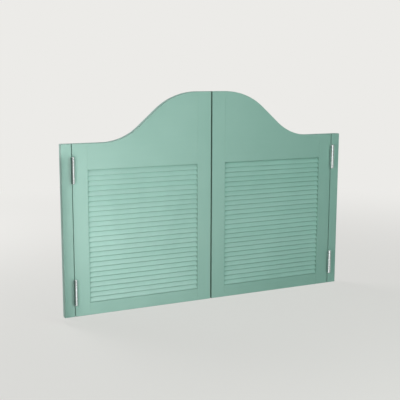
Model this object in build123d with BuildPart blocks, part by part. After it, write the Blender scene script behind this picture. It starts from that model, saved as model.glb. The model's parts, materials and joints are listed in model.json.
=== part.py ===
from build123d import *
import os
from math import cos, radians, sin, sqrt

# A pair of louvred saloon doors between two frame strips, in millimetres.
# +X is to the right as seen from the front, +Y to the rear and +Z up. The origin is halfway
# between the strips, at the doors' lower edge and in the middle of their thickness.

# Overall sizes
overall_width = 1200.0
thickness = 25.0
jamb_width = 38.0
hinge_gap = 3.0
meeting_gap = 5.0
shoulder_height = 642.0
edge_round = 1.5
jamb_corner_round = 3.0

# Ogee crown: it falls from the meeting stile to the shoulder
crown_rise = 181.0
crown_slope = 41.5
convex_radius = 255.0
concave_radius = 215.0

# Stiles and rails
stile_width = 57.0
top_rail_height = 96.0
bottom_rail_height = 47.0
tenon_length = 30.0
tenon_thickness = 8.0
top_tenon_height = 56.0
bottom_tenon_height = 27.0
upper_tenon_rise = 110.0
mortise_fit = 0.1
mortise_end_gap = 0.5
joint_groove = 0.5

# Louvre slats: the front edge of each is its lower edge
slat_count = 26
slat_width = 26.0
slat_thickness = 6.0
slat_edge_round = 1.0
slat_tilt = 60.0
slat_sink = 1.0
slat_housing = 5.0
slat_fit = 0.15

# Hinges: each has two barrels, one in front of the doors and one behind
hinge_height = 90.0
hinge_inset = 50.0
barrel_radius = 8.0
barrel_wall = 1.5
barrel_clearance = 0.5
plate_thickness = 1.5
plate_depth = 22.0
plate_corner_round = 4.0
seat_clearance = 0.2
web_thickness = 2.0
web_clearance = 0.7
knuckle_height = 15.0
knuckle_gap = 0.3

# Pins, collars and springs inside the barrels
tip_height = 5.0
tip_round = 4.5
collar_height = 8.0
spigot_reach = 6.5
pivot_fit = 0.05
stem_radius = 2.5
stem_socket = 4.0
stem_end_gap = 0.5
tommy_hole_count = 4
tommy_hole_radius = 1.5
tommy_hole_depth = 3.0
stop_pin_radius = 1.2
stop_pin_length = 5.0
stop_pin_proud = 0.3
spring_wire_radius = 1.1
spring_pitch = 3.6
spring_end_gap = 0.3

# Screws through the hinge plates, and holes for the screws that hold the strips to a wall
screws_per_plate = 3
screw_spacing = 30.0
screw_length = 22.0
screw_point = 4.0
screw_shank_radius = 2.0
screw_head_radius = 3.8
screw_fit = 0.05
countersink_angle = 90.0
drive_slot_length = 4.0
drive_slot_width = 0.9
drive_slot_depth = 1.0
wall_hole_count = 4
wall_hole_pitch = 100.0
wall_hole_radius = 2.75
wall_head_radius = 5.5

# Distances from the middle of the opening, outwards
leaf_inner = meeting_gap / 2
rail_inner = leaf_inner + stile_width
jamb_outer = overall_width / 2
jamb_inner = jamb_outer - jamb_width
leaf_outer = jamb_inner - hinge_gap
rail_outer = leaf_outer - stile_width
rail_middle = (rail_inner + rail_outer) / 2
rail_length = rail_outer - rail_inner

# Heights on the leaves
crown_height = shoulder_height + crown_rise
panel_top = shoulder_height - top_rail_height
panel_bottom = bottom_rail_height
top_tenon = panel_top + top_rail_height / 2
upper_tenon = top_tenon + upper_tenon_rise
bottom_tenon = bottom_rail_height / 2
crown_turn = (convex_radius + concave_radius) * (1 - cos(radians(crown_slope)))
crown_straight = (crown_rise - crown_turn) / sin(radians(crown_slope))

# The slats fill the panel, and each rail houses the edge of the slat next to it
slat_flat_width = slat_width - 2 * slat_edge_round
slat_flat_edge = slat_thickness - 2 * slat_edge_round
slat_lean = radians(slat_tilt)
slat_flat_rise = slat_flat_width * sin(slat_lean) + slat_flat_edge * cos(slat_lean)
slat_rise = slat_flat_rise + 2 * slat_edge_round
slat_span = panel_top - panel_bottom + 2 * slat_sink - slat_rise
slat_pitch = slat_span / (slat_count - 1)
lowest_slat = panel_bottom - slat_sink + slat_rise / 2
slat_heights = [lowest_slat + number * slat_pitch for number in range(slat_count)]
slat_length = rail_length + 2 * (slat_housing - mortise_end_gap)

# Heights in a hinge, from its foot: lower knuckle, tube, upper knuckle and collar
collar_bottom = hinge_height - collar_height
upper_knuckle_top = collar_bottom - knuckle_gap
upper_knuckle_bottom = upper_knuckle_top - knuckle_height
tube_bottom = knuckle_height + knuckle_gap
tube_top = upper_knuckle_bottom - knuckle_gap
lower_spigot_top = tube_bottom + spigot_reach
upper_spigot_bottom = tube_top - spigot_reach
socket_top = collar_bottom + stem_socket
stem_top = socket_top - stem_end_gap
spring_foot = lower_spigot_top + spring_end_gap + spring_wire_radius
spring_head = upper_spigot_bottom - spring_end_gap - spring_wire_radius

# A hinge's own frame has X from the strip to the leaf and its origin in the middle of the gap
barrel_offset = thickness / 2 + barrel_clearance + barrel_radius
bore_radius = barrel_radius - barrel_wall
spigot_radius = bore_radius - pivot_fit
plate_middle = -(hinge_gap + plate_thickness) / 2
sides = {"left": -1, "right": 1}
levels = {"lower": hinge_inset, "upper": shoulder_height - hinge_inset - hinge_height}


def hinge_place(side, level):
    """The foot of one hinge.

    The right hinges are the left ones turned half round, not their mirror image, so the strip
    carries the front barrels on the left and the rear barrels on the right.
    """
    x = side * (leaf_outer + jamb_inner) / 2
    return Plane(origin=(x, 0, level), x_dir=(-side, 0, 0), z_dir=(0, 0, 1))


def turned(place):
    """The same foot turned half round, which puts the strip's plate and barrel on the leaf."""
    return Plane(origin=place.origin, x_dir=-place.x_dir, z_dir=place.z_dir)


def screw_planes():
    """Planes on the face of the strip's plate, looking out into the gap, one for each screw."""
    first = (hinge_height - (screws_per_plate - 1) * screw_spacing) / 2
    return [
        Plane(origin=(-hinge_gap / 2, 0, first + number * screw_spacing), z_dir=(1, 0, 0))
        for number in range(screws_per_plate)
    ]


def stop_pin_plane():
    """A plane on the outside of the upper knuckle, looking outwards, where the stop pin goes in."""
    level = (upper_knuckle_bottom + upper_knuckle_top) / 2
    return Plane(origin=(0, -barrel_offset - barrel_radius, level), z_dir=(0, -1, 0))


def cut_screw_holes():
    """Countersunk holes for one plate's screws, in the plate or in the wood behind it."""
    with Locations(*screw_planes()):
        CounterSinkHole(
            radius=screw_shank_radius + screw_fit,
            counter_sink_radius=screw_head_radius + screw_fit,
            depth=screw_length + mortise_end_gap,
            counter_sink_angle=countersink_angle,
        )


def cut_plate_seat(place):
    """The recess and the screw holes of the plate that is let into this board."""
    depth = plate_depth + seat_clearance
    height = hinge_height + 2 * seat_clearance
    with Locations(place):
        with Locations((plate_middle, (depth - thickness) / 2, height / 2 - seat_clearance)):
            Box(plate_thickness, depth, height, mode=Mode.SUBTRACT)
        cut_screw_holes()


def draw_slats(heights, growth=0.0):
    """Sections of slats at these heights, seen from the right, grown by a clearance."""
    with Locations(*[(0, height) for height in heights]):
        RectangleRounded(
            slat_width + 2 * growth,
            slat_thickness + 2 * growth,
            slat_edge_round + growth,
            rotation=slat_tilt,
        )


def draw_tenons(heights, height, growth=0.0):
    """Sections of tenons whose middles are at these heights, grown by a clearance."""
    with Locations(*[(0, level) for level in heights]):
        Rectangle(tenon_thickness + 2 * growth, height + 2 * growth)


def draw_joint_grooves(places):
    """Sections of the small V grooves that mark a joint on both faces of a leaf."""
    faces = [(place, face * thickness / 2) for place in places for face in (-1, 1)]
    with Locations(*faces):
        Rectangle(joint_groove * sqrt(2), joint_groove * sqrt(2), rotation=45)


def make_jamb(side):
    """A frame strip, with seats for two hinge plates and holes for screws into the wall."""
    with BuildPart() as jamb:
        with BuildSketch():
            with Locations((side * (jamb_inner + jamb_outer) / 2, 0)):
                Rectangle(jamb_width, thickness)
        extrude(amount=shoulder_height)
        across = jamb.edges().filter_by(Axis.Y)
        fillet(across.sort_by(Axis((0, 0, 0), (side, 0, 1)))[-1], jamb_corner_round)
        fillet(jamb.edges().group_by(Axis.Y)[0] + jamb.edges().group_by(Axis.Y)[-1], edge_round)
        for level in levels.values():
            cut_plate_seat(hinge_place(side, level))
        middle = (side * jamb_inner, 0, shoulder_height / 2)
        with Locations(Plane(origin=middle, x_dir=(0, 1, 0), z_dir=(-side, 0, 0))):
            with GridLocations(0, wall_hole_pitch, 1, wall_hole_count):
                CounterSinkHole(
                    radius=wall_hole_radius,
                    counter_sink_radius=wall_head_radius,
                    depth=jamb_width,
                    counter_sink_angle=countersink_angle,
                )
    return jamb.part


def make_stile(side, joint, away, top, tenons, seats=()):
    """An upright of a leaf: it meets the rails at this joint and lies away from them."""
    face = side * joint
    into = side * away
    with BuildPart() as stile:
        with BuildSketch():
            with Locations((face + into * stile_width / 2, 0)):
                Rectangle(stile_width, thickness)
        extrude(amount=top)
        outlines = stile.edges().group_by(Axis.Y)[0] + stile.edges().group_by(Axis.Y)[-1]
        away_from_joint = outlines.filter_by(lambda edge: abs(edge.center().X - face) > edge_round)
        fillet(away_from_joint, edge_round)
        with BuildSketch():
            draw_joint_grooves([face])
        extrude(amount=top, mode=Mode.SUBTRACT)
        with BuildSketch(Plane.YZ.offset(face)):
            draw_slats(slat_heights, slat_fit)
        extrude(amount=into * slat_housing, mode=Mode.SUBTRACT)
        with BuildSketch(Plane.YZ.offset(face)):
            draw_tenons(tenons, top_tenon_height, mortise_fit)
            draw_tenons([bottom_tenon], bottom_tenon_height, mortise_fit)
        extrude(amount=into * (tenon_length + mortise_end_gap), mode=Mode.SUBTRACT)
        for seat in seats:
            cut_plate_seat(seat)
    return stile.part


def make_top_rail(side):
    """The crown board: an ogee between the meeting stile's top and the shoulder."""
    start = (side * rail_inner, crown_height)
    with BuildPart() as rail:
        with BuildSketch(Plane.XZ):
            with BuildLine():
                convex = JernArc(start, (side, 0), convex_radius, -side * crown_slope)
                fall = PolarLine(convex @ 1, crown_straight, direction=convex % 1)
                concave = JernArc(fall @ 1, fall % 1, concave_radius, side * crown_slope)
                Polyline(
                    concave @ 1,
                    (side * jamb_outer, shoulder_height),
                    (side * jamb_outer, panel_top),
                    (side * rail_inner, panel_top),
                    start,
                )
            make_face()
            with Locations((side * rail_middle, (panel_top + crown_height) / 2)):
                Rectangle(rail_length, crown_height - panel_top, mode=Mode.INTERSECT)
        extrude(amount=thickness / 2, both=True)
        outlines = rail.edges().group_by(Axis.Y)[0] + rail.edges().group_by(Axis.Y)[-1]
        crown = outlines.filter_by(Axis.Z, reverse=True)
        fillet(crown.filter_by(lambda edge: edge.center().Z > panel_top + edge_round), edge_round)
        with BuildSketch(Plane.XY.offset(panel_top)):
            draw_joint_grooves([side * rail_inner, side * rail_outer])
        extrude(amount=crown_height - panel_top, mode=Mode.SUBTRACT)
        with BuildSketch(Plane.YZ.offset(side * rail_inner)):
            draw_tenons([top_tenon, upper_tenon], top_tenon_height)
        extrude(amount=-side * tenon_length)
        with BuildSketch(Plane.YZ.offset(side * rail_outer)):
            draw_tenons([top_tenon], top_tenon_height)
        extrude(amount=side * tenon_length)
        with BuildSketch(Plane.YZ.offset(side * rail_middle)):
            draw_slats(slat_heights[-1:], slat_fit)
        extrude(amount=rail_length / 2, both=True, mode=Mode.SUBTRACT)
    return rail.part


def make_bottom_rail(side):
    """The rail below the slats, with a tenon at each end."""
    with BuildPart() as rail:
        with BuildSketch():
            with Locations((side * rail_middle, 0)):
                Rectangle(rail_length, thickness)
        extrude(amount=bottom_rail_height)
        fillet(rail.edges().filter_by(Axis.X).group_by(Axis.Z)[0], edge_round)
        with BuildSketch():
            draw_joint_grooves([side * rail_inner, side * rail_outer])
        extrude(amount=bottom_rail_height, mode=Mode.SUBTRACT)
        with BuildSketch(Plane.YZ.offset(side * rail_middle)):
            draw_tenons([bottom_tenon], bottom_tenon_height)
        extrude(amount=rail_length / 2 + tenon_length, both=True)
        with BuildSketch(Plane.YZ.offset(side * rail_middle)):
            draw_slats(slat_heights[:1], slat_fit)
        extrude(amount=rail_length / 2, both=True, mode=Mode.SUBTRACT)
    return rail.part


def make_slats(side):
    """A leaf's slats, each a flat strip with its corners rounded."""
    with BuildPart() as slats:
        with BuildSketch(Plane.YZ.offset(side * rail_middle)):
            draw_slats(slat_heights)
        extrude(amount=slat_length / 2, both=True)
    return slats.part


def make_plate():
    """The plate on the strip: a flat with two knuckles and three countersunk holes."""
    with BuildPart() as plate:
        with BuildSketch():
            with Locations((plate_middle, (plate_depth - thickness) / 2)):
                Rectangle(plate_thickness, plate_depth)
        extrude(amount=hinge_height)
        far_edges = plate.edges().filter_by(Axis.X).group_by(Axis.Y)[-1]
        fillet(far_edges, plate_corner_round)
        for bottom in (0, upper_knuckle_bottom):
            with BuildSketch(Plane.XY.offset(bottom)):
                with Locations((plate_middle, -(barrel_offset + thickness / 2) / 2)):
                    Rectangle(plate_thickness, barrel_offset - thickness / 2)
                with Locations((0, -barrel_offset)):
                    Circle(barrel_radius)
                    Circle(bore_radius, mode=Mode.SUBTRACT)
            extrude(amount=knuckle_height)
        cut_screw_holes()
        with Locations(stop_pin_plane()):
            Hole(radius=stop_pin_radius + screw_fit, depth=barrel_radius)
    return plate.part


def make_web():
    """The middle plate, with a spring tube along each edge."""
    tube_axes = [(0, -barrel_offset), (0, barrel_offset)]
    with BuildPart() as web:
        with BuildSketch():
            Rectangle(web_thickness, 2 * (barrel_offset - barrel_radius - web_clearance))
        extrude(amount=hinge_height)
        with BuildSketch(Plane.XY.offset(tube_bottom)):
            Rectangle(web_thickness, 2 * barrel_offset)
            with Locations(*tube_axes):
                Circle(barrel_radius)
            with Locations(*tube_axes):
                Circle(bore_radius, mode=Mode.SUBTRACT)
        extrude(amount=tube_top - tube_bottom)
    return web.part


def make_pin():
    """A turned pin: rounded tip, spigot through the lower knuckle into the tube, and stem."""
    foot = Plane(origin=(0, -barrel_offset, 0))
    with BuildPart() as pin:
        with BuildSketch(foot):
            Circle(barrel_radius)
        extrude(amount=-tip_height)
        fillet(pin.edges().sort_by(Axis.Z)[0], tip_round)
        with BuildSketch(foot):
            Circle(spigot_radius)
        extrude(amount=lower_spigot_top)
        with BuildSketch(foot.offset(lower_spigot_top)):
            Circle(stem_radius)
        extrude(amount=stem_top - lower_spigot_top)
    return pin.part


def make_collar():
    """The tension collar: a head with tommy holes, and a spigot that the pin's stem enters."""
    foot = Plane(origin=(0, -barrel_offset, 0))
    with BuildPart() as collar:
        with BuildSketch(foot.offset(collar_bottom)):
            Circle(barrel_radius)
        extrude(amount=collar_height + tip_height)
        fillet(collar.edges().sort_by(Axis.Z)[-1], tip_round)
        with BuildSketch(foot.offset(upper_spigot_bottom)):
            Circle(spigot_radius)
        extrude(amount=collar_bottom - upper_spigot_bottom)
        with BuildSketch(foot.offset(upper_spigot_bottom)):
            Circle(stem_radius + pivot_fit)
        extrude(amount=socket_top - upper_spigot_bottom, mode=Mode.SUBTRACT)
        with Locations(foot.offset(collar_bottom + collar_height / 2)):
            with PolarLocations(barrel_radius, tommy_hole_count):
                with Locations(Plane.YZ):
                    Hole(radius=tommy_hole_radius, depth=tommy_hole_depth)
        with Locations(stop_pin_plane()):
            Hole(radius=stop_pin_radius + screw_fit, depth=stop_pin_length)
    return collar.part


def make_spring():
    """An open coil round the pin's stem, between the pin's spigot and the collar's."""
    with BuildPart() as spring:
        with BuildLine(Plane(origin=(0, -barrel_offset, spring_foot))) as coil:
            Helix(
                pitch=spring_pitch,
                height=spring_head - spring_foot,
                radius=(stem_radius + bore_radius) / 2,
            )
        with BuildSketch(Plane(origin=coil.line @ 0, z_dir=coil.line % 0)):
            Circle(spring_wire_radius)
        sweep(path=coil.line, is_frenet=True)
    return spring.part


def make_screws():
    """One plate's countersunk wood screws, each with a crossed drive slot and a point."""
    neck = screw_shank_radius - screw_head_radius
    with BuildPart() as screw:
        with BuildSketch(Plane.XZ):
            with BuildLine():
                Polyline(
                    (0, 0),
                    (screw_head_radius, 0),
                    (screw_shank_radius, neck),
                    (screw_shank_radius, screw_point - screw_length),
                    (0, -screw_length),
                    close=True,
                )
            make_face()
        revolve(axis=Axis.Z)
        with BuildSketch():
            Rectangle(drive_slot_length, drive_slot_width)
            Rectangle(drive_slot_width, drive_slot_length)
        extrude(amount=-drive_slot_depth, mode=Mode.SUBTRACT)
    with BuildPart() as screws:
        with Locations(*screw_planes()):
            add(screw.part)
    return screws.part


def make_stop_pin():
    """The small pin that locks a collar to its knuckle."""
    with BuildPart() as pin:
        with BuildSketch(stop_pin_plane().offset(stop_pin_proud)):
            Circle(stop_pin_radius)
        extrude(amount=-stop_pin_length)
    return pin.part


def place_copies(piece, places):
    """Copies of a piece that was made in the hinge's own frame, at these feet."""
    with BuildPart() as copies:
        with Locations(*places):
            add(piece)
    return copies.part


def save(piece, name):
    """Labels a finished piece and writes its file."""
    piece.label = name
    export_step(piece, f"parts/{name}.step")


os.makedirs("parts", exist_ok=True)

# The wooden pieces
for name, side in sides.items():
    feet = [hinge_place(side, level) for level in levels.values()]
    leaf_seats = [turned(foot) for foot in feet]
    save(make_jamb(side), f"{name}_jamb")
    save(
        make_stile(side, rail_inner, -1, crown_height, [top_tenon, upper_tenon]),
        f"{name}_meeting_stile",
    )
    save(
        make_stile(side, rail_outer, 1, shoulder_height, [top_tenon], leaf_seats),
        f"{name}_hinge_stile",
    )
    save(make_top_rail(side), f"{name}_top_rail")
    save(make_bottom_rail(side), f"{name}_bottom_rail")
    save(make_slats(side), f"{name}_louvre_slats")

# The hinge pieces are made once, in the hinge's own frame, and then copied to their places
plate = make_plate()
web = make_web()
pin = make_pin()
collar = make_collar()
spring = make_spring()
plate_screws = make_screws()
stop_pin = make_stop_pin()

for name, side in sides.items():
    for height, level in levels.items():
        foot = hinge_place(side, level)
        hinge = f"{name}_{height}_hinge"
        save(place_copies(web, [foot]), f"{hinge}_web")
        for carrier, place in {"jamb": foot, "leaf": turned(foot)}.items():
            save(place_copies(plate, [place]), f"{hinge}_{carrier}_plate")
            save(place_copies(pin, [place]), f"{hinge}_{carrier}_pin")
            save(place_copies(collar, [place]), f"{hinge}_{carrier}_collar")
            save(place_copies(spring, [place]), f"{hinge}_{carrier}_spring")
    feet = [hinge_place(side, level) for level in levels.values()]
    for carrier, places in {"jamb": feet, "leaf": [turned(foot) for foot in feet]}.items():
        save(place_copies(plate_screws, places), f"{name}_{carrier}_hinge_screws")
        save(place_copies(stop_pin, places), f"{name}_{carrier}_stop_pins")
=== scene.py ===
# %% [markdown]
# # A pair of louvred saloon doors
#
# Two painted leaves hang between two narrow frame strips on double-action spring hinges. Every
# board, slat and hinge part comes from the CAD model, already in its real place and size. This
# lesson gives those parts their finish, makes the coil springs again with far fewer faces, and
# sets up the floor, the lamps and the camera. Lengths are in metres, +X is to the right, +Y to
# the rear and +Z up.

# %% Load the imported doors
import json
from math import atan, cos, degrees, pi, radians, sin, tau

import bmesh
import bpy
from mathutils import Matrix, Vector


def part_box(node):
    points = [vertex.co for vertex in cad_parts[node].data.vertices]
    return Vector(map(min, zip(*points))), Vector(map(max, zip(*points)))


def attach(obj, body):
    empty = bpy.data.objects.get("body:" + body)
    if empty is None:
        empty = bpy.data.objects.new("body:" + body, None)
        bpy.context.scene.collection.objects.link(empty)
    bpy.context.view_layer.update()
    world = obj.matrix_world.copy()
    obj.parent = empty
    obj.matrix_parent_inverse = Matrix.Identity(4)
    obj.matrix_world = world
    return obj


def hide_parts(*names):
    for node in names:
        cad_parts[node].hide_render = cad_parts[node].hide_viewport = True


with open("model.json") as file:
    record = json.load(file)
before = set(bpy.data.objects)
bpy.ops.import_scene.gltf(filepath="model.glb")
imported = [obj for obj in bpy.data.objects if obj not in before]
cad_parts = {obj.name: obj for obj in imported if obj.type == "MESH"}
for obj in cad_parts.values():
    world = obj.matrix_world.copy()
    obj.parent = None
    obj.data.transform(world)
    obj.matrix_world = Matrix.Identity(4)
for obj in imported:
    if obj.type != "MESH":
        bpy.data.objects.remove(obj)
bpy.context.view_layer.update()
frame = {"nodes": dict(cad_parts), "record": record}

scene = bpy.context.scene
nodes = frame["nodes"]
bodies = frame["record"]["behaviour"]["bodies"]
body_of_node = {node: body for body, members in bodies.items() for node in members}

# %% [markdown]
# ## Coil springs
#
# Each hinge barrel hides a spring that closes the door. A spring can be made from a curve with a
# round bevel, or with a Screw modifier, or by spinning a circle round an axis while it climbs.
# The spin is used here, because it gives evenly spaced rings and lets the climb change from the
# closed turn at each end to the open turns between them. Few faces go round the wire: it is two
# millimetres thick and sits inside a tube.

# %% Spin one run of a coil
steps_per_turn = 18


def spin_run(bm, ring, centre, turns, climb):
    """Carries the ring round the centre's axis while it climbs, and returns the ring at the end."""
    steps = round(turns * steps_per_turn)
    swept = bmesh.ops.spin(
        bm, geom=ring, cent=centre, axis=(0, 0, 1), dvec=(0, 0, climb / steps),
        angle=turns * tau, steps=steps, use_merge=False, use_duplicate=False,
    )
    return swept["geom_last"]


# %% Make a whole spring
wire_sides = 10
wire_radius = 0.0011
open_spacing = 3.2 * wire_radius
end_turns = 1
end_climb = 2 * wire_radius * end_turns


def make_spring(name, low, high):
    """A spring that fills the box between these corners, with a closed turn at each end."""
    coil_radius = (high.x - low.x) / 2 - wire_radius
    centre = Vector(((low.x + high.x) / 2, (low.y + high.y) / 2, 0))
    open_climb = high.z - low.z - 2 * wire_radius - 2 * end_climb
    open_turns = round(open_climb / open_spacing)
    bm = bmesh.new()
    start = Matrix.Translation(centre + Vector((coil_radius, 0, low.z + wire_radius)))
    circle = bmesh.ops.create_circle(
        bm, cap_ends=False, segments=wire_sides, radius=wire_radius,
        matrix=start @ Matrix.Rotation(pi / 2, 4, "X"),
    )
    first_loop = list(bm.edges)
    ring = circle["verts"] + first_loop
    for turns, climb in ((end_turns, end_climb), (open_turns, open_climb), (end_turns, end_climb)):
        ring = spin_run(bm, ring, centre, turns, climb)
    last_loop = [part for part in ring if isinstance(part, bmesh.types.BMEdge)]
    bmesh.ops.edgeloop_fill(bm, edges=first_loop)
    bmesh.ops.edgeloop_fill(bm, edges=last_loop)
    bmesh.ops.recalc_face_normals(bm, faces=bm.faces)
    for face in bm.faces:
        face.smooth = len(face.verts) == 4
    mesh = bpy.data.meshes.new(name)
    bm.to_mesh(mesh)
    bm.free()
    return bpy.data.objects.new(name, mesh)


# %% Put a spring in every barrel
springs = []
for node in sorted(name for name in nodes if name.endswith("_spring")):
    spring = make_spring(node.replace("_spring", "_coil"), *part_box(node))
    scene.collection.objects.link(spring)
    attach(spring, body_of_node[node])
    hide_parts(node)
    springs.append(spring)
print("springs:", len(springs), "with", len(springs[0].data.polygons), "faces each")

# %% [markdown]
# ## Tools for materials
#
# A material is a small network of nodes. It could be wired by hand in the Shader Editor. The
# helpers below place a node and wire it in one line, so that each recipe further down reads from
# top to bottom and can be built again with other numbers.

# %% Place a node
def put(tree, kind, inputs=None, **settings):
    """A new node; its inputs are plain values or the sockets that feed them."""
    node = tree.nodes.new(kind)
    for name, value in settings.items():
        setattr(node, name, value)
    for key, value in (inputs or {}).items():
        if isinstance(value, bpy.types.NodeSocket):
            tree.links.new(value, node.inputs[key])
        else:
            node.inputs[key].default_value = value
    return node


# %% Calculate with nodes
def maths(tree, operation, *values):
    """The result of one calculation."""
    return put(tree, "ShaderNodeMath", dict(enumerate(values)), operation=operation).outputs[0]


def ramp(tree, value, low, high, to_low=0.0, to_high=1.0):
    """The value carried from one span of numbers to another, with soft ends."""
    spans = {"Value": value, "From Min": low, "From Max": high, "To Min": to_low, "To Max": to_high}
    return put(tree, "ShaderNodeMapRange", spans, interpolation_type="SMOOTHSTEP").outputs["Result"]


def noise(tree, vector, scale, detail=2.0, roughness=0.5, distortion=0.0):
    """Soft noise of this scale, from about 0.2 to 0.8."""
    inputs = {
        "Vector": vector, "Scale": scale,
        "Detail": detail, "Roughness": roughness, "Distortion": distortion,
    }
    return put(tree, "ShaderNodeTexNoise", inputs).outputs["Fac"]


# %% Write and blend colours
def colour(code):
    """A colour written as six hexadecimal digits, turned into the linear numbers a shader wants."""
    parts = [int(code[place:place + 2], 16) / 255 for place in (0, 2, 4)]
    linear = [part / 12.92 if part <= 0.04045 else ((part + 0.055) / 1.055) ** 2.4 for part in parts]
    return (*linear, 1.0)


mix_share, mix_first, mix_second, mix_result = 0, 6, 7, 2


def blend_colours(tree, share, first, second):
    """The first colour, or the second where the share is 1."""
    inputs = {mix_share: share, mix_first: first, mix_second: second}
    return put(tree, "ShaderNodeMix", inputs, data_type="RGBA").outputs[mix_result]


# %% Start and use a node group
def start_group(name, takes, gives):
    """An empty node group with these sockets, and its two ends."""
    group = bpy.data.node_groups.new(name, "ShaderNodeTree")
    for socket, (kind, value) in takes.items():
        made = group.interface.new_socket(name=socket, in_out="INPUT", socket_type=f"NodeSocket{kind}")
        if value is not None:
            made.default_value = value
    for socket in gives:
        group.interface.new_socket(name=socket, in_out="OUTPUT", socket_type="NodeSocketFloat")
    entrance = group.nodes.new("NodeGroupInput").outputs
    way_out = group.nodes.new("NodeGroupOutput").inputs
    return group, entrance, way_out


def use_group(tree, group, **inputs):
    """This group placed in a material; an underscore stands for a space in an input's name."""
    values = {name.replace("_", " "): value for name, value in inputs.items()}
    return put(tree, "ShaderNodeGroup", values, node_tree=group).outputs


# %% [markdown]
# ## Brushed paint over wood
#
# Under satin paint the grain of the board still shows as long, faint ridges, and the brush or
# roller leaves finer lines in the same direction. A wave texture could draw the grain, but it
# repeats. Noise that is stretched along the board doesn't, so it is used at two sizes. The effect
# is kept in a node group: it is built once, and every paint then uses it with numbers of its own.
# The group is given a vector that is already stretched beside the plain one, and puts out a
# height for the relief and a tone for small changes of colour and gloss.

# %% Group: paint over grain
grain_scale = 75.0
brush_scale = 520.0
peel_scale = 620.0
peel_height = 0.15
patch_scale = 5.5
grain_in_tone = 0.35

paint_film, takes, gives = start_group(
    "paint over grain",
    {
        "Vector": ("Vector", None), "Plain Vector": ("Vector", None),
        "Grain": ("Float", 0.5), "Brush": ("Float", 0.35),
    },
    ["Height", "Tone"],
)
grain_lines = noise(paint_film, takes["Vector"], grain_scale, detail=5.0, roughness=0.62, distortion=0.25)
brush_lines = noise(paint_film, takes["Vector"], brush_scale, detail=2.0)
paint_peel = noise(paint_film, takes["Plain Vector"], peel_scale, detail=1.0)
relief = maths(paint_film, "MULTIPLY", grain_lines, takes["Grain"])
relief = maths(paint_film, "MULTIPLY_ADD", brush_lines, takes["Brush"], relief)
relief = maths(paint_film, "MULTIPLY_ADD", paint_peel, peel_height, relief)
paint_film.links.new(relief, gives["Height"])
patches = noise(paint_film, takes["Plain Vector"], patch_scale, detail=3.0)
tone = maths(paint_film, "MULTIPLY_ADD", grain_lines, grain_in_tone, patches)
paint_film.links.new(ramp(paint_film, tone, low=0.40, high=0.95), gives["Tone"])
print("group:", paint_film.name)

# %% [markdown]
# ## Worn edges
#
# Paint is thinnest where a board turns a corner, and that is where it is rubbed. A mask painted
# by hand would show that, but it would have to be painted again for every board. The Bevel node
# gives the normal that a rounder edge would have. Where it differs from the real normal there is
# an edge, and noise breaks the mask up so that the wear doesn't run along it like a stripe.

# %% Group: edge wear
edge_wear, takes, gives = start_group(
    "edge wear",
    {
        "Vector": ("Vector", None), "Radius": ("Float", 0.0012),
        "Spots": ("Float", 60.0), "Amount": ("Float", 0.5),
    },
    ["Mask"],
)
rounded = put(edge_wear, "ShaderNodeBevel", {"Radius": takes["Radius"]}, samples=6).outputs["Normal"]
sharp = put(edge_wear, "ShaderNodeNewGeometry").outputs["Normal"]
normals = {0: rounded, 1: sharp}
likeness = put(edge_wear, "ShaderNodeVectorMath", normals, operation="DOT_PRODUCT").outputs["Value"]
on_edge = ramp(edge_wear, likeness, low=0.995, high=0.90)
spots = noise(edge_wear, takes["Vector"], takes["Spots"], detail=4.0)
spots = ramp(edge_wear, spots, low=0.42, high=0.62)
rubbed = maths(edge_wear, "MULTIPLY", on_edge, spots)
edge_wear.links.new(maths(edge_wear, "MULTIPLY", rubbed, takes["Amount"]), gives["Mask"])
print("group:", edge_wear.name)

# %% [markdown]
# ## Settled dust
#
# A little dust lies on faces that look up, such as the upper side of every slat. It could be
# scattered as specks, but those would be too small to see. The normal's upward part says how
# level a face is, and noise makes the dust uneven.

# %% Group: settled dust
settled_dust, takes, gives = start_group(
    "settled dust",
    {"Vector": ("Vector", None), "Scale": ("Float", 40.0), "Amount": ("Float", 0.3)},
    ["Mask"],
)
facing = put(settled_dust, "ShaderNodeNewGeometry").outputs["Normal"]
upward = put(settled_dust, "ShaderNodeSeparateXYZ", {0: facing}).outputs["Z"]
level_faces = ramp(settled_dust, upward, low=0.25, high=0.95)
drifts = noise(settled_dust, takes["Vector"], takes["Scale"], detail=5.0)
drifts = ramp(settled_dust, drifts, low=0.35, high=0.75)
dust = maths(settled_dust, "MULTIPLY", level_faces, drifts)
settled_dust.links.new(maths(settled_dust, "MULTIPLY", dust, takes["Amount"]), gives["Mask"])
print("group:", settled_dust.name)

# %% [markdown]
# ## Handled metal
#
# Polished metal is never evenly bright: fingers leave soft smudges, and cleaning leaves hair
# scratches. Both change how rough the metal is, far more than its colour. Photographs of real
# smudges are often used for this, but two sizes of noise look the same at this distance and never
# run out at an edge.

# %% Group: handled metal
scratch_stretch = (1.0, 1.0, 0.05)
smudge_share = 0.65
scratch_share = 0.35

handled_metal, takes, gives = start_group(
    "handled metal",
    {
        "Vector": ("Vector", None), "Smudge Scale": ("Float", 90.0), "Scratch Scale": ("Float", 900.0),
        "Low": ("Float", 0.1), "High": ("Float", 0.3),
    },
    ["Roughness", "Height"],
)
smudges = noise(handled_metal, takes["Vector"], takes["Smudge Scale"], detail=4.0, roughness=0.6)
stretch = {"Vector": takes["Vector"], "Scale": scratch_stretch}
along = put(handled_metal, "ShaderNodeMapping", stretch).outputs[0]
scratches = noise(handled_metal, along, takes["Scratch Scale"], detail=3.0, roughness=0.7)
marks = maths(handled_metal, "MULTIPLY", smudges, smudge_share)
marks = maths(handled_metal, "MULTIPLY_ADD", scratches, scratch_share, marks)
spans = {"Value": marks, "From Min": 0.3, "From Max": 0.7, "To Min": takes["Low"], "To Max": takes["High"]}
roughness = put(handled_metal, "ShaderNodeMapRange", spans).outputs["Result"]
handled_metal.links.new(roughness, gives["Roughness"])
handled_metal.links.new(scratches, gives["Height"])
print("group:", handled_metal.name)

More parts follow.
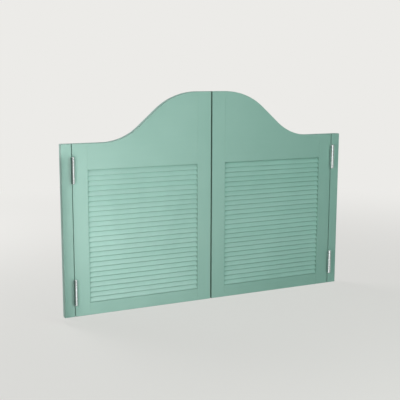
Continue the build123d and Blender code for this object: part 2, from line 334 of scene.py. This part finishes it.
# %% [markdown]
# ## Painted boards and slats
#
# All the wood has one satin paint. The uprights carry their grain up the door, and the rails and
# slats carry it across. One material could turn the grain by looking at the board's shape, but
# two built from one recipe are easier to follow. A third turn of the recipe is for the slats, with
# a touch of its own and a paler paint, which is painted light for the extra light their tilted
# faces catch. The edges where the two leaves meet are painted darker, as painted shade for the
# shadow in the narrow gap between them.

# %% Colours of the paint
mint = colour("9FCBBF")
# painted light: the slats' paint is paler, standing for the extra light their upward-tilted faces catch
slat_lit_mint = colour("B0DDD2")
worn_mint = colour("BCDAD4")
dusty_mint = colour("B7D3CE")
deep_mint = colour("90C0B3")
# painted shade: the dark colour that stands for the shadow in the gap between the leaves and in the slats'
# creases
painted_shade_mint = colour("47725F")
grain_stretch = {"upright": (1.0, 1.0, 0.05), "level": (0.05, 1.0, 1.0)}


# %% Start a material
def start_material(name):
    """A new material with a Principled shader, and its object coordinates."""
    material = bpy.data.materials.new(name)
    material.use_nodes = True
    tree = material.node_tree
    tree.nodes.clear()
    shader = tree.nodes.new("ShaderNodeBsdfPrincipled")
    put(tree, "ShaderNodeOutputMaterial", {"Surface": shader.outputs["BSDF"]})
    place = put(tree, "ShaderNodeTexCoord").outputs["Object"]
    return material, tree, shader, place


# %% Painted shade where the leaves meet
gap_shade_fade = 0.0036
gap_shade_full = 0.0026


def meeting_gap_shade(tree, place):
    """Painted shade: full on the edges where the leaves meet, and nothing a little way out from them."""
    sideways = put(tree, "ShaderNodeSeparateXYZ", {0: place}).outputs["X"]
    return ramp(tree, maths(tree, "ABSOLUTE", sideways), low=gap_shade_fade, high=gap_shade_full)


# %% The recipe for paint
deep_share = 0.30
gap_shade_share = 0.8
plain_roughness = 0.36
roughness_of_tone = 0.10
roughness_of_dust = 0.5
paint_relief = 0.00012


def painted_wood(name, run, base, touch=None):
    """Satin paint on boards whose grain runs upright or level."""
    material, tree, shader, place = start_material(name)
    along = put(tree, "ShaderNodeMapping", {"Vector": place, "Scale": grain_stretch[run]}).outputs[0]
    film = use_group(tree, paint_film, Vector=along, Plain_Vector=place, Grain=0.5, Brush=0.35)
    wear = use_group(tree, edge_wear, Vector=place, Radius=0.0014, Spots=55.0, Amount=0.35)["Mask"]
    dust = use_group(tree, settled_dust, Vector=place, Scale=35.0, Amount=0.30)["Mask"]
    paint = blend_colours(tree, maths(tree, "MULTIPLY", film["Tone"], deep_share), base, deep_mint)
    if touch:
        paint = touch(tree, place, paint)
    paint = blend_colours(tree, dust, paint, dusty_mint)
    paint = blend_colours(tree, wear, paint, worn_mint)
    # painted shade on the edges where the leaves meet, standing for the shadow in the gap
    gap_shade = maths(tree, "MULTIPLY", meeting_gap_shade(tree, place), gap_shade_share)
    paint = blend_colours(tree, gap_shade, paint, painted_shade_mint)
    tree.links.new(paint, shader.inputs["Base Color"])
    roughness = maths(tree, "MULTIPLY_ADD", film["Tone"], roughness_of_tone, plain_roughness)
    roughness = maths(tree, "MULTIPLY_ADD", dust, roughness_of_dust, roughness)
    tree.links.new(roughness, shader.inputs["Roughness"])
    relief = {"Strength": 0.6, "Distance": paint_relief, "Height": film["Height"]}
    tree.links.new(put(tree, "ShaderNodeBump", relief).outputs["Normal"], shader.inputs["Normal"])
    return material


# %% [markdown]
# ## The touch that is the slats' own
#
# Slats are painted one by one and no two take the paint alike, so each has a slightly different
# tone. Where one slat goes under the next it is painted darker there, as painted shade for the
# shadow in that crease. Both could be painted on by hand, or kept in an attribute of the mesh.
# Here they follow from a point's place, because the slats are flat, evenly spaced and all tilted
# alike: turning the coordinates by the tilt tells how far out of a slat's middle the point lies
# and how far up its width, and the rest is the slat's number.

# %% Measures of the slats
slat_count = 26
slat_tilt = radians(60)
slat_thickness = 0.006
slat_width = 0.026
slat_edge_round = 0.001
slats_low, slats_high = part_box("left_louvre_slats")
slat_rise = (slat_width - 2 * slat_edge_round) * sin(slat_tilt) + 2 * slat_edge_round
slat_rise += (slat_thickness - 2 * slat_edge_round) * cos(slat_tilt)
slat_pitch = (slats_high.z - slats_low.z - slat_rise) / (slat_count - 1)
lowest_slat = slats_low.z + slat_rise / 2
print("slat pitch in mm:", round(slat_pitch * 1000, 2))

# %% Which slat a point belongs to
right_leaf_numbers = 100.0


def place_on_slat(tree, place):
    """The slat's number, and how far up its width and out of its middle the point lies."""
    parts = put(tree, "ShaderNodeSeparateXYZ", {0: place}).outputs
    out = maths(tree, "MULTIPLY", parts["Y"], -sin(slat_tilt))
    out = maths(tree, "MULTIPLY_ADD", parts["Z"], cos(slat_tilt), out)
    up = maths(tree, "MULTIPLY", parts["Y"], cos(slat_tilt))
    up = maths(tree, "MULTIPLY_ADD", parts["Z"], sin(slat_tilt), up)
    pitch_out = slat_pitch * cos(slat_tilt)
    number = maths(tree, "MULTIPLY_ADD", out, 1 / pitch_out, 0.5 - lowest_slat / slat_pitch)
    number = maths(tree, "FLOOR", number)
    middle = maths(tree, "MULTIPLY_ADD", number, slat_pitch, lowest_slat)
    up = maths(tree, "MULTIPLY_ADD", middle, -sin(slat_tilt), up)
    out = maths(tree, "MULTIPLY_ADD", middle, -cos(slat_tilt), out)
    leaf = maths(tree, "SIGN", parts["X"])
    number = maths(tree, "MULTIPLY_ADD", leaf, right_leaf_numbers, number)
    return number, up, out


# %% Paint on the slats
slat_paleness = 0.16
# painted shade in the crease where each slat goes under the next
crevice_start = -0.006
crevice_end = 0.006
crevice_shade = 0.10


def slat_touch(tree, place, paint):
    """Each slat's own tone, and painted shade where it goes under the next one."""
    number, up, out = place_on_slat(tree, place)
    chance = put(tree, "ShaderNodeTexWhiteNoise", {"W": number}, noise_dimensions="1D").outputs["Value"]
    paint = blend_colours(tree, maths(tree, "MULTIPLY", chance, slat_paleness), paint, worn_mint)
    # painted shade: darkens the part of a slat that goes under the slat above
    inwards = maths(tree, "MULTIPLY", up, maths(tree, "SIGN", out))
    painted_crevice_shade = ramp(tree, inwards, low=crevice_start, high=crevice_end, to_high=crevice_shade)
    return blend_colours(tree, painted_crevice_shade, paint, painted_shade_mint)


# %% Three paints
upright_paint = painted_wood("painted wood upright", "upright", mint)
level_paint = painted_wood("painted wood level", "level", mint)
slat_paint = painted_wood("painted wood slats", "level", slat_lit_mint, slat_touch)
print("paints:", [paint.name for paint in (upright_paint, level_paint, slat_paint)])

# %% [markdown]
# ## Hinge metal
#
# The barrels are polished and plated, so they show their surroundings as narrow upright bands.
# The springs are dark tempered steel with a film of oil, and the screws are duller zinc. Each
# could have a material of its own, but they differ only in numbers, so one recipe makes all
# three, with rougher numbers for the duller ones.

# %% The recipe for metal
stain_scale = 140.0
stain_shade = 0.86


def metal(name, shade, low, high, scratch_depth):
    """A metal whose roughness varies between two values, with hair scratches this deep."""
    material, tree, shader, place = start_material(name)
    shader.inputs["Metallic"].default_value = 1.0
    marks = use_group(tree, handled_metal, Vector=place, Low=low, High=high)
    stain = ramp(tree, noise(tree, place, stain_scale, detail=3.0), low=0.35, high=0.75)
    darker = (*[part * stain_shade for part in shade[:3]], 1.0)
    tree.links.new(blend_colours(tree, stain, shade, darker), shader.inputs["Base Color"])
    tree.links.new(marks["Roughness"], shader.inputs["Roughness"])
    relief = {"Strength": 0.4, "Distance": scratch_depth, "Height": marks["Height"]}
    tree.links.new(put(tree, "ShaderNodeBump", relief).outputs["Normal"], shader.inputs["Normal"])
    return material


# %% Three metals
plated = metal("plated steel", colour("E6E7E8"), low=0.10, high=0.22, scratch_depth=0.00002)
tempered = metal("tempered spring steel", colour("5A5450"), low=0.25, high=0.42, scratch_depth=0.00004)
zinc = metal("zinc screws", colour("C4C6C8"), low=0.26, high=0.45, scratch_depth=0.00004)
print("metals:", [finish.name for finish in (plated, tempered, zinc)])

# %% [markdown]
# ## Every piece gets its finish
#
# A finish can be given to each object by hand. The CAD parts are named for what they are, so the
# last word of a name is enough to look the finish up in one table.

# %% Give every piece its finish
finishes = {
    "jamb": upright_paint, "stile": upright_paint, "rail": level_paint, "slats": slat_paint,
    "plate": plated, "web": plated, "pin": plated, "collar": plated, "pins": plated,
    "screws": zinc, "spring": tempered,
}
for name, node in nodes.items():
    node.data.materials.clear()
    node.data.materials.append(finishes[name.split("_")[-1]])
for spring in springs:
    spring.data.materials.append(tempered)
print("finished nodes:", len(nodes))

# %% [markdown]
# ## Floor and background
#
# The doors stand on a plain pale floor that has no visible end. Far away it turns into the colour
# of the background, so no horizon shows. A curved paper sweep would do the same, but it would
# show its edge from the side. The background itself is only for the eye and for reflections: the
# light that it gives the doors is set apart from its colour. The hinges don't reflect the floor,
# because polished metal near a bright floor shows nothing else.

# %% Floor
backdrop_colour = colour("ECEBE8")
floor_radius = 14.0
floor_drop = 0.001

bm = bmesh.new()
bmesh.ops.create_circle(
    bm, cap_ends=True, segments=96, radius=floor_radius,
    matrix=Matrix.Translation((0, 0, -floor_drop)),
)
floor_mesh = bpy.data.meshes.new("floor")
bm.to_mesh(floor_mesh)
bm.free()
floor = bpy.data.objects.new("floor", floor_mesh)
scene.collection.objects.link(floor)
floor.visible_glossy = False
print("floor across in m:", 2 * floor_radius)

# %% Paint of the floor
fade_start = 0.5
fade_end = 3.2
fade_near = 0.70

floor_paint, tree, shader, place = start_material("pale floor")
shader.inputs["Base Color"].default_value = colour("E4E3E0")
shader.inputs["Roughness"].default_value = 0.7
distance = put(tree, "ShaderNodeVectorMath", {0: place}, operation="LENGTH").outputs["Value"]
seen = put(tree, "ShaderNodeLightPath").outputs["Is Camera Ray"]
far = ramp(tree, distance, low=fade_start, high=fade_end, to_low=fade_near)
far = maths(tree, "MULTIPLY", far, seen)
distant = put(tree, "ShaderNodeEmission", {"Color": backdrop_colour, "Strength": 1.0}).outputs[0]
mixed = put(tree, "ShaderNodeMixShader", {0: far, 1: shader.outputs["BSDF"], 2: distant}).outputs[0]
end = next(node for node in tree.nodes if node.type == "OUTPUT_MATERIAL")
tree.links.new(mixed, end.inputs["Surface"])
floor_mesh.materials.append(floor_paint)
print("floor fades from", fade_start, "m to", fade_end, "m")

# %% Background
all_round_light = 0.04

world = bpy.data.worlds.new("studio")
scene.world = world
world.use_nodes = True
tree = world.node_tree
tree.nodes.clear()
path = put(tree, "ShaderNodeLightPath").outputs
shown = maths(tree, "MAXIMUM", path["Is Camera Ray"], path["Is Glossy Ray"])
shown = maths(tree, "MAXIMUM", shown, path["Is Transmission Ray"])
lighting = put(tree, "ShaderNodeBackground", {"Color": colour("F0FFFF"), "Strength": all_round_light})
backdrop = put(tree, "ShaderNodeBackground", {"Color": backdrop_colour, "Strength": 1.0})
both = {0: shown, 1: lighting.outputs[0], 2: backdrop.outputs[0]}
put(tree, "ShaderNodeOutputWorld", {"Surface": put(tree, "ShaderNodeMixShader", both).outputs[0]})
print("light from all round:", all_round_light)

# %% [markdown]
# ## Cards for the metal
#
# Polished metal looks like what it reflects, and in an empty studio that is nothing. A
# photographer puts cards round it: a dark one gives each barrel a dark edge, and a bright one
# beside it a clean upright line. They could be lamps, but these must not light the paint, so they
# are cards that only reflections see.

# %% A sheet for the studio
def studio_sheet(name, corners):
    """A flat sheet between four corners, which no view shows and whose colour no light picks up."""
    bm = bmesh.new()
    points = [bm.verts.new(corner) for corner in corners]
    bmesh.ops.contextual_create(bm, geom=points, mat_nr=0, use_smooth=False)
    mesh = bpy.data.meshes.new(name)
    bm.to_mesh(mesh)
    bm.free()
    sheet = bpy.data.objects.new(name, mesh)
    scene.collection.objects.link(sheet)
    sheet.visible_camera = False
    sheet.visible_diffuse = False
    sheet.visible_transmission = False
    sheet.visible_volume_scatter = False
    return sheet


# %% A card that reflections see
card_bottom = -1.2
card_top = 1.6


def reflected_card(name, start, end, shade, strength):
    """An upright card between two places on the floor plan, seen only in reflections."""
    foot = [(x, y, card_bottom) for x, y in (start, end)]
    head = [(x, y, card_top) for x, y in (end, start)]
    card = studio_sheet(name, foot + head)
    card.visible_shadow = False
    material = bpy.data.materials.new(name)
    material.use_nodes = True
    tree = material.node_tree
    tree.nodes.clear()
    glow = put(tree, "ShaderNodeEmission", {"Color": colour(shade), "Strength": strength}).outputs[0]
    put(tree, "ShaderNodeOutputMaterial", {"Surface": glow})
    card.data.materials.append(material)


# %% Four cards from left to right
rear_left = (-1.1, 0.6)
front_left = (-1.1, -0.9)
front_middle = (-0.1, -1.38)
front_right = (0.64, -1.38)
rear_right = (1.7, -0.2)

reflected_card("dark card", rear_left, front_left, "4C625A", 1.0)
reflected_card("grey card", front_left, front_middle, "A8AEAC", 1.0)
reflected_card("bright card", front_middle, front_right, "F6FFFA", 2.2)
reflected_card("right card", front_right, rear_right, "8C9391", 1.0)

# %% [markdown]
# ## Lamps
#
# A small soft lamp stands close to the left strip, so that its light falls off across both
# leaves. Painting the boards darker to the right would do that from the front, but not from
# behind. A lamp this near draws a bright pool on the floor too, so light linking leaves the floor
# out of its light. The main lamp is wider and stands in front on the right. The rear lamp
# brightens the tops of the boards, and the backs of the leaves when the doors are turned round.
# No lamp shows in the metal or in any view.

# %% The recipe for a lamp
doors_middle = Vector((0, 0, 0.4))


def soft_lamp(name, place, size, power, shade):
    """A square area lamp at this place, turned to the doors."""
    data = bpy.data.lights.new(name, "AREA")
    data.shape = "SQUARE"
    data.size = size
    data.energy = power
    data.color = colour(shade)[:3]
    lamp = bpy.data.objects.new(name, data)
    lamp.location = place
    lamp.rotation_euler = (doors_middle - Vector(place)).to_track_quat("-Z", "Y").to_euler()
    lamp.visible_camera = False
    lamp.visible_glossy = False
    scene.collection.objects.link(lamp)
    return lamp


# %% Three lamps
near_lamp = soft_lamp("near left lamp", (-0.95, -0.7, 0.4), size=0.6, power=6.9, shade="FFEAEC")
main_lamp = soft_lamp("main lamp", (0.6, -2.2, 1.4), size=1.6, power=23.1, shade="EEFFF7")
rear_lamp = soft_lamp("rear lamp", (-1.2, 2.1, 1.5), size=1.8, power=50.0, shade="FFFFFF")
for lamp in (near_lamp, main_lamp, rear_lamp):
    print(lamp.name, "of", round(lamp.data.energy, 1), "W")

# %% Keep the near lamp off the floor
unlit = bpy.data.collections.new("unlit by the near lamp")
unlit.objects.link(floor)
near_lamp.light_linking.receiver_collection = unlit
unlit.collection_objects[0].light_linking.link_state = "EXCLUDE"

# %% [markdown]
# ## A flag for the left strip
#
# The left strip is a little darker than the leaf beside it. Darker paint would do that too, but
# from every side and in every light. A flag is the studio's way: a card that holds the light off
# one part of the set. It stands a little way out from the strip, because a card that touches it
# would draw a hard edge, and it reaches further forward at its foot than at its top.

# %% Flag
flag_distance = 0.015
flag_foot_reach = 0.078
flag_top_reach = 0.053
flag_height = 0.59

strip_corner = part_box("left_jamb")[0]
flag_x = strip_corner.x - flag_distance
flag_rear = strip_corner.y
flag = studio_sheet("flag", [
    (flag_x, flag_rear, 0), (flag_x, flag_rear - flag_foot_reach, 0),
    (flag_x, flag_rear - flag_top_reach, flag_height), (flag_x, flag_rear, flag_height),
])
flag.visible_glossy = False
print("flag:", [round(length, 3) for length in flag.dimensions])

# %% [markdown]
# ## Camera
#
# The camera stands where the photographer stood: to the left of the doors, a little above them,
# looking down on them by nine degrees. It could be moved by eye until the outline fits. Its place
# and its lens were worked out from points measured in the photograph instead, because then the
# size of every part can be read from the same picture.

# %% Camera
camera_place = Vector((-1.3654, -2.7331, 0.9061))
camera_yaw = radians(25.810)
camera_pitch = radians(9.4444)
camera_roll = radians(0.148)
focal_length_px = 785.3
picture_px = 400.0

camera_data = bpy.data.cameras.new("camera")
camera_data.sensor_width = 36.0
camera_data.lens = camera_data.sensor_width * focal_length_px / picture_px
camera_data.clip_start = 0.05
camera_data.clip_end = 60.0
camera = bpy.data.objects.new("camera", camera_data)
turn = Matrix.Rotation(-camera_yaw, 4, "Z") @ Matrix.Rotation(pi / 2 - camera_pitch, 4, "X")
turn = turn @ Matrix.Rotation(camera_roll, 4, "Z")
camera.matrix_world = Matrix.Translation(camera_place) @ turn
scene.collection.objects.link(camera)
scene.camera = camera
scene.view_settings.view_transform = "Standard"
half_view = degrees(atan(camera_data.sensor_width / 2 / camera_data.lens))
print("lens in mm:", round(camera_data.lens, 2), "half view in degrees:", round(half_view, 2))

# %% [markdown]
# ## Update the scene
#
# The view layer is brought up to date at the end.

# %% Bring the scene up to date
bpy.context.view_layer.update()
